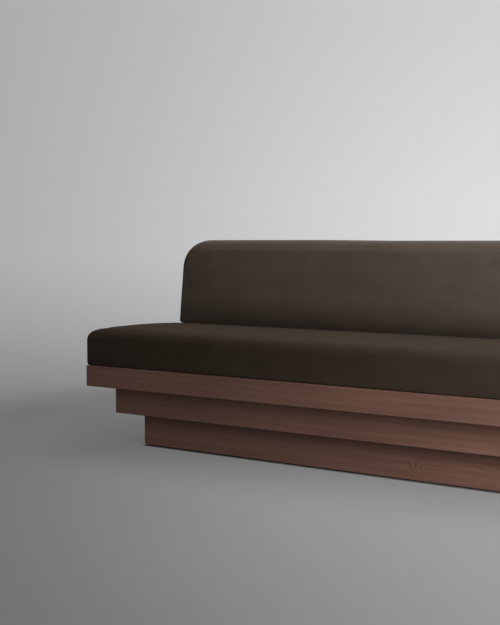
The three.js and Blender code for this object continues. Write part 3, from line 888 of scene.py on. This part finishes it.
def opening_under(low, high, bottom):
    """The opening in the turned-under cloth, narrower than the board above it."""
    margin = Vector((STAPLED, STAPLED, 0))
    start, end = Vector((low.x, low.y, bottom)), Vector((high.x, high.y, low.z + MM))
    return block(start + margin, end - margin)


def tube_cutters(names, clear):
    shape = bmesh.new()
    for name in names:
        low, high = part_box(name)
        middle = (low + high) / 2
        place = Matrix.Translation((middle.x, middle.y, TUBE_HOLE_MIDDLE))
        radius = (high.x - low.x) / 2 + clear
        bmesh.ops.create_cone(shape, cap_ends=True, segments=24, radius1=radius, radius2=radius,
                              depth=TUBE_HOLE_LENGTH, matrix=place)
    return shape


swell(seat, seat_held, SHRINK, SEAT_SWELL)
points = points_of(seat.data)
points[:, 2] = np.maximum(points[:, 2], SEAT_LOW.z)
set_points(seat.data, points)

board_low, board_high = room_for(["seat_board"], CLEAR)
tubes = [f"spacer_tube_{number}" for number in range(1, 5)]
finish_padding(seat, seat_cloth, [
    to_object("seat room", block(board_low, board_high)),
    to_object("seat opening", opening_under(board_low, board_high, SEAT_LOW.z - CUT_BELOW)),
    to_object("seat tube holes", tube_cutters(tubes, CLEAR)),
])


# %% [markdown]
# ## The back
#
# The back is a long bolster with square-cut lower edges and large round shoulders. Here the outline
# lies in the plane of the front, so its top corners are the shoulders, and the edges round the
# front and the rear are soft on top and tight at the ends. The front leans back a little, crowns,
# and is drawn in where it meets the seat. The top line rises slightly towards the ends, and the
# ends stand out a little at their foot.

# %% Tailor the back
BACK_LOW, BACK_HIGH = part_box("back_cover")
BACK_ABOVE_SOLID = 0.5 * MM
BACK_HALF = 1177 * MM
BACK_FRONT = 111.5 * MM
BACK_REAR = 362.5 * MM
BACK_TOP = BACK_HIGH.z + BACK_ABOVE_SOLID
BACK_SHOULDER = 106 * MM
BACK_HEEL = 12 * MM
BACK_HEEL_REACH = 40 * MM
BACK_TOP_RADIUS = 42 * MM
BACK_SIDE_RADIUS = 12 * MM
BACK_UNDER_RADIUS = 11 * MM
BACK_RECLINE = 32 * MM
BACK_CROWN = 9 * MM
BACK_CROWN_REACH = 160 * MM
BACK_CROWN_DEPTH = 30 * MM
BACK_TUCK = 10 * MM
BACK_TUCK_SHARE = 0.32
BACK_END_LIFT = 3.2 * MM
BACK_LIFT_START = 300 * MM
BACK_LIFT_END = 650 * MM
BACK_FLARE = 2.5 * MM
BACK_FLARE_START = 0.55
BACK_FLARE_END = 0.20
BACK_HELD_BASE = 16 * MM
BACK_SWELL = 4 * MM
BACK_LEAST_SWELL = 0.25
BACK_TIGHT_REACH = 220 * MM
BACK_TIGHT_DEPTH = 130 * MM
BACK_SQUARE = 13 * MM
BACK_NEAR_FACES = (0, 4, 7, 9.5, 12, 16, 22, 28, 35, 42)
BACK_NEAR_ENDS = (0, 4, 7, 9.5, 12, 18, 25, 33, 42)
BACK_NEAR_BASE = (0, 3.5, 6.5, 9, 12)
BACK_NEAR_TOP = (0, 5, 10, 16, 22, 28, 35, 42)


def back_block():
    return block_of_squares(Vector((-BACK_HALF, BACK_FRONT, BACK_LOW.z)), [
        marks(2 * BACK_HALF, BACK_NEAR_ENDS, BACK_NEAR_ENDS, BACK_SQUARE),
        marks(BACK_REAR - BACK_FRONT, BACK_NEAR_FACES, BACK_NEAR_FACES, BACK_SQUARE),
        marks(BACK_TOP - BACK_LOW.z, BACK_NEAR_BASE, BACK_NEAR_TOP, BACK_SQUARE),
    ])


def tailor_back(points):
    x, y, z = points.T
    middle = (BACK_LOW.z + BACK_TOP) / 2
    half = (BACK_HALF, (BACK_TOP - BACK_LOW.z) / 2)
    up = z - middle
    inset = np.minimum(half[0] - abs(x), half[1] - abs(up))
    upper = up > 0
    reach = np.where(upper, BACK_SHOULDER, BACK_HEEL_REACH)
    turned = np.arctan2(up - half[1] + reach, np.maximum(abs(x) - half[0] + reach, 1e-6)) / QUARTER
    turned = np.clip(turned, 0, 1) ** 2
    soft = np.where(upper, BACK_TOP_RADIUS, BACK_UNDER_RADIUS)
    radius = BACK_SIDE_RADIUS + (soft - BACK_SIDE_RADIUS) * turned * turned * (3 - 2 * turned)
    forward = y < (BACK_FRONT + BACK_REAR) / 2
    depth = np.where(forward, y - BACK_FRONT, BACK_REAR - y)
    new_inset, new_depth = round_edge(inset, depth, radius)
    y = np.where(forward, BACK_FRONT + new_depth, BACK_REAR - new_depth)
    corner_radius = np.where(upper, BACK_SHOULDER - new_inset, BACK_HEEL + new_inset / 2)
    x, up = round_corner(x, up, half, inset, new_inset, reach, corner_radius)
    z = middle + up

    risen = np.clip((z - BACK_LOW.z) / (BACK_TOP - BACK_LOW.z), 0, 1)
    facing = np.clip((BACK_REAR - y) / (BACK_REAR - BACK_FRONT), 0, 1)
    skin = np.clip(1 - (y - BACK_FRONT) / BACK_CROWN_DEPTH, 0, 1)
    along = np.sin(QUARTER * np.clip((BACK_HALF - abs(x)) / BACK_CROWN_REACH, 0, 1))
    tucked = BACK_TUCK * np.clip(1 - risen / BACK_TUCK_SHARE, 0, 1) ** 2
    crowned = BACK_CROWN * np.sin(math.pi * risen)
    y = y + BACK_RECLINE * risen * facing + (tucked - crowned) * skin * along
    to_end = np.clip((abs(x) - BACK_LIFT_START) / (BACK_LIFT_END - BACK_LIFT_START), 0, 1)
    z = z + BACK_END_LIFT * to_end * to_end * (3 - 2 * to_end) * risen * risen
    flared = np.clip((BACK_FLARE_START - risen) / (BACK_FLARE_START - BACK_FLARE_END), 0, 1)
    x = x * (1 + BACK_FLARE / BACK_HALF * flared)
    return np.column_stack((x, y, z))


def back_held(points):
    return (BACK_LOW.z + BACK_HELD_BASE - points[:, 2]) / HELD_FADE


def back_limit(points):
    """The cloth is tight round the ends and over the top, so the padding rises slowly there."""
    from_end = np.clip((BACK_HALF - abs(points[:, 0])) / BACK_TIGHT_REACH, 0, 1)
    from_top = np.clip((BACK_TOP - points[:, 2]) / BACK_TIGHT_DEPTH, 0, 1)
    freedom = (np.sin(QUARTER * from_end) * np.sin(QUARTER * from_top)) ** 2
    return BACK_SWELL * (BACK_LEAST_SWELL + (1 - BACK_LEAST_SWELL) * freedom)


back = to_object("back_cushion", back_block())
set_points(back.data, tailor_back(points_of(back.data)))
print("back starts with", len(back.data.vertices), "points")


# %% Swell the back and cut the room for its frame
swell(back, back_held, SHRINK, back_limit(points_of(back.data)))
points = points_of(back.data)
points[:, 2] = np.maximum(points[:, 2], BACK_LOW.z)
set_points(back.data, points)

frame_names = ["back_bottom_rail", "back_top_rail", "back_front_panel", "back_rear_panel",
               *(f"back_upright_{number}" for number in range(1, 5))]
frame_low, frame_high = room_for(frame_names, CLEAR)
finish_padding(back, back_cloth, [
    to_object("back room", block(frame_low, frame_high)),
    to_object("back opening", opening_under(frame_low, frame_high, BACK_LOW.z - CUT_BELOW)),
])


for piece, stands_for in ((seat, ("seat_cover", "seat_foam")), (back, ("back_cover", "back_foam"))):
    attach(piece, "root")
    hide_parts(*stands_for)
print("padded pieces:", seat.name, "and", back.name)


# %% [markdown]
# ## The studio
#
# The photograph was taken on grey paper that runs up behind the sofa. A real curved sweep would
# stand in the way when the sofa is looked at from behind. So the floor is flat and endless, and far
# from the sofa it fades into the background's own tone, which only rays from the camera or a shiny
# surface see. Near the sofa a quarter of what the camera sees is that glow too, which is painted
# light that lightens the sofa's shadow. The paper's colour is painted darker towards the near left:
# painted shade where the light falls off. Under the plinth nothing fades, so the gap stays dark.

# %% Make the background's tone
WALL_LEFT = tone(168, 168, 168)
WALL_RIGHT = tone(225, 225, 225)
WALL_MIDDLE = tone(198, 198, 198)
WALL_TURN = (-0.95, -0.2)
WALL_TURN_BEHIND = (3.1, 1.2)
WALL_RISE = (0.04, 0.21)
WALL_RISE_SHARE = 0.72


def background_tone(tree, direction):
    """The wall's tone by direction: paler to the right, and a little darker high up."""
    direction = vector_calc(tree, "NORMALIZE", direction)
    parts = put(tree, "ShaderNodeSeparateXYZ", {0: direction}).outputs
    turn = calc(tree, "ARCTAN2", parts["X"], parts["Y"])
    share = remap(tree, turn, *WALL_TURN, smooth=True)
    share = calc(tree, "MULTIPLY", share, remap(tree, turn, *WALL_TURN_BEHIND, smooth=True))
    share = calc(tree, "MULTIPLY", share, remap(tree, parts["Z"], *WALL_RISE, 1.0, WALL_RISE_SHARE))
    return mix(tree, share, WALL_LEFT, WALL_RIGHT)


def seen_directly(tree):
    """1 for rays that show the background: from the camera or by a shiny or clear surface."""
    path = put(tree, "ShaderNodeLightPath").outputs
    seen = calc(tree, "MAXIMUM", path["Is Camera Ray"], path["Is Glossy Ray"])
    return calc(tree, "MAXIMUM", seen, path["Is Transmission Ray"])


# %% Lay the floor
PAPER = tone(122, 122, 122)
FLOOR_HALF = 60.0
FADE_START = 1.7
LEAST_PAINTED_GLOW = 0.25
SOFT_START = 0.8
LOOK_DIRECTION = (-math.sin(CAMERA_YAW), math.cos(CAMERA_YAW), 0.0)
NEAR_END = -1.25
FAR_END = 0.0
NEAR_PAINTED_SHADE = 0.46
LEFT_END, RIGHT_END, LEFT_PAINTED_SHADE = -1.2, -0.2, 0.66
PLINTH_FOOT = (1.06, 0.25)
FOOT_SHADOW = 0.012
CAMERA_FOOT = (0.3, 1.7)


def paper_floor():
    shape = bmesh.new()
    bmesh.ops.create_grid(shape, x_segments=8, y_segments=8, size=FLOOR_HALF)
    made = to_object("paper floor", shape)
    material, tree, shader = new_material("grey paper")
    place = object_place(tree)
    drift = use_group(tree, drift_tree, {"Vector": place, "Scale": 0.6, "Amount": 0.02})
    forward = vector_calc(tree, "DOT_PRODUCT", place, LOOK_DIRECTION)
    # Painted shade: the paper's colour is made darker towards the camera and towards the left,
    # where the light falls off.
    painted_shade_and_drift = remap(tree, forward, NEAR_END, FAR_END, NEAR_PAINTED_SHADE, 1.0)
    to_right = put(tree, "ShaderNodeSeparateXYZ", {0: place}).outputs["X"]
    painted_shade_to_left = remap(tree, to_right, LEFT_END, RIGHT_END, LEFT_PAINTED_SHADE, 1.0)
    painted_shade_and_drift = calc(tree, "MULTIPLY", painted_shade_and_drift, painted_shade_to_left)
    painted_shade_and_drift = calc(tree, "MULTIPLY", painted_shade_and_drift, drift["Factor"])
    join(tree, mix(tree, 1.0, PAPER, painted_shade_and_drift, "MULTIPLY"), shader.inputs["Base Color"])
    shader.inputs["Roughness"].default_value = 0.9
    shader.inputs["Specular IOR Level"].default_value = 0.2
    distance = vector_calc(tree, "LENGTH", place)
    near = calc(tree, "DIVIDE", FADE_START, distance)
    risen = remap(tree, near, 1.0, FADE_START / FLOOR_HALF)
    soft_start = remap(tree, distance, FADE_START, FADE_START + SOFT_START, smooth=True)
    risen = calc(tree, "MULTIPLY", risen, soft_start)
    # Painted light: near the sofa, and in its shadow, the camera still sees at least a quarter
    # glow, which lightens that shadow.
    fade = remap(tree, risen, 0.0, 1.0, LEAST_PAINTED_GLOW, 1.0)
    beside = vector_calc(tree, "ABSOLUTE", place)
    beside = vector_calc(tree, "SUBTRACT", beside, (*PLINTH_FOOT, 0.0))
    beside = put(tree, "ShaderNodeSeparateXYZ", {0: beside}).outputs
    beside = calc(tree, "MAXIMUM", beside["X"], beside["Y"])
    fade = calc(tree, "MULTIPLY", fade, remap(tree, beside, 0.0, FOOT_SHADOW, smooth=True))
    fade = calc(tree, "MULTIPLY", fade, seen_directly(tree))
    outlook = vector_calc(tree, "SUBTRACT", place, tuple(CAMERA_PLACE))
    from_foot = vector_calc(tree, "LENGTH", vector_calc(tree, "MULTIPLY", outlook, (1.0, 1.0, 0.0)))
    around_foot = remap(tree, from_foot, *CAMERA_FOOT, smooth=True)
    seen_tone = mix(tree, around_foot, WALL_MIDDLE, background_tone(tree, outlook))
    glow = put(tree, "ShaderNodeEmission", {"Color": seen_tone})
    both = put(tree, "ShaderNodeMixShader", {0: fade, 1: shader.outputs[0], 2: glow.outputs[0]})
    output = next(made_node for made_node in tree.nodes if made_node.type == "OUTPUT_MATERIAL")
    join(tree, both.outputs[0], output.inputs["Surface"])
    made.data.materials.append(material)
    return made


paper_floor()
print("floor laid, fading from", FADE_START, "m")


# %% [markdown]
# ## The lights
#
# Soft light comes from the right front, so the left end falls into half shadow, and from above, so
# the tops of the seat and the back are paler than their fronts. Light adds up. So each lamp was
# rendered alone, and the powers were then chosen so that their sum is as bright as the photograph
# from place to place. The key is a small low panel near the right end. One wide panel hangs over
# the sofa, one over the floor in front, and a weak one stands on the wall's side. None of them
# shows to the camera, and the world adds a little from all round.

# %% Set the lamps
LAMPS = (
    # name, place, what it points at, size, power
    ("key", (1.9, -1.3, 0.72), (0.0, 0.0, 0.35), (0.8, 0.8), 73),
    ("overhead", (0.2, 0.6, 2.6), (0.2, 0.2, 0.4), (3.6, 1.6), 56),
    ("front overhead", (0.9, -1.0, 2.6), (0.9, -1.0, 0.0), (2.0, 1.0), 20),
    ("wall glow", (0.2, 2.8, 1.8), (0.0, 0.2, 0.6), (2.4, 2.4), 12),
)


def soft_light(name, place, target, size, power):
    data = bpy.data.lights.new(name, "AREA")
    data.shape = "RECTANGLE"
    data.size, data.size_y = size
    data.energy = power
    made = bpy.data.objects.new(name, data)
    made.location = place
    made.rotation_euler = (Vector(target) - Vector(place)).to_track_quat("-Z", "Y").to_euler()
    made.visible_camera = False
    bpy.context.scene.collection.objects.link(made)


for lamp in LAMPS:
    soft_light(*lamp)
print("lamps:", ", ".join(lamp[0] for lamp in LAMPS))


# %% Set the world
WHITE = (1, 1, 1, 1)
FILL_STRENGTH = 0.03

world = bpy.data.worlds.new("studio")
world.use_nodes = True
sky_tree = world.node_tree
sky_tree.nodes.clear()
looking = put(sky_tree, "ShaderNodeTexCoord").outputs["Generated"]
wall_tone = background_tone(sky_tree, looking)
shown = put(sky_tree, "ShaderNodeBackground", {"Color": wall_tone, "Strength": 1.0})
fill = put(sky_tree, "ShaderNodeBackground", {"Color": WHITE, "Strength": FILL_STRENGTH})
shares = {0: seen_directly(sky_tree), 1: fill.outputs[0], 2: shown.outputs[0]}
sky = put(sky_tree, "ShaderNodeMixShader", shares)
put(sky_tree, "ShaderNodeOutputWorld", {"Surface": sky.outputs[0]})
bpy.context.scene.world = world
bpy.context.scene.view_settings.view_transform = "Standard"
